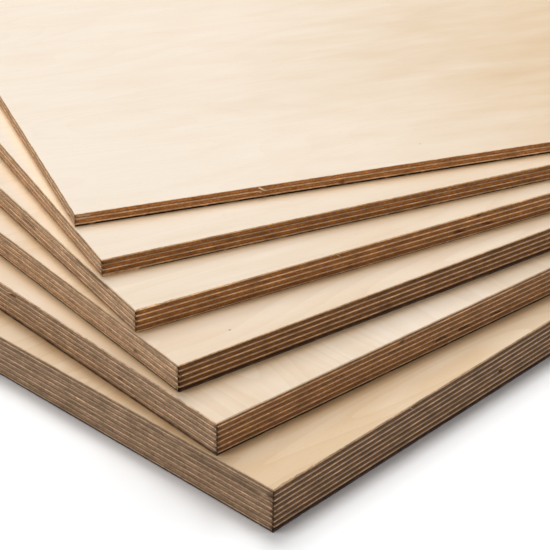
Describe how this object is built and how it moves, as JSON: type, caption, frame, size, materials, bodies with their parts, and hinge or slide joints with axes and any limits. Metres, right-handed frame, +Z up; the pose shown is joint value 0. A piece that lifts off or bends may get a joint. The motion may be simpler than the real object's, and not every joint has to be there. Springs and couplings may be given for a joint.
{
  "type": "stack of plywood sheets",
  "caption": "Fanned stack of flat birch plywood sheets of graded thickness, thickest at the bottom, with pale sanded faces and striped laminated edges.",
  "frame": {"origin": "middle of the whole stack's box in plan, on the underside of the bottom sheet", "axes": "+Z up through the stack's thickness, +Y along the bottom sheet's long side away from the shared corner, +X along its short side towards the shared corner"},
  "size_m": [0.6604, 0.7142, 0.0841],
  "materials": {
    "birch_plywood": "raw sanded birch veneer on the faces, sawn and unsealed on the edges"
  },
  "bodies": {
    "root": {"sheet_24mm": "birch_plywood", "sheet_18mm": "birch_plywood", "sheet_15mm": "birch_plywood", "sheet_12mm": "birch_plywood", "sheet_9mm": "birch_plywood", "sheet_6_5mm": "birch_plywood"}
  },
  "joints": []
}
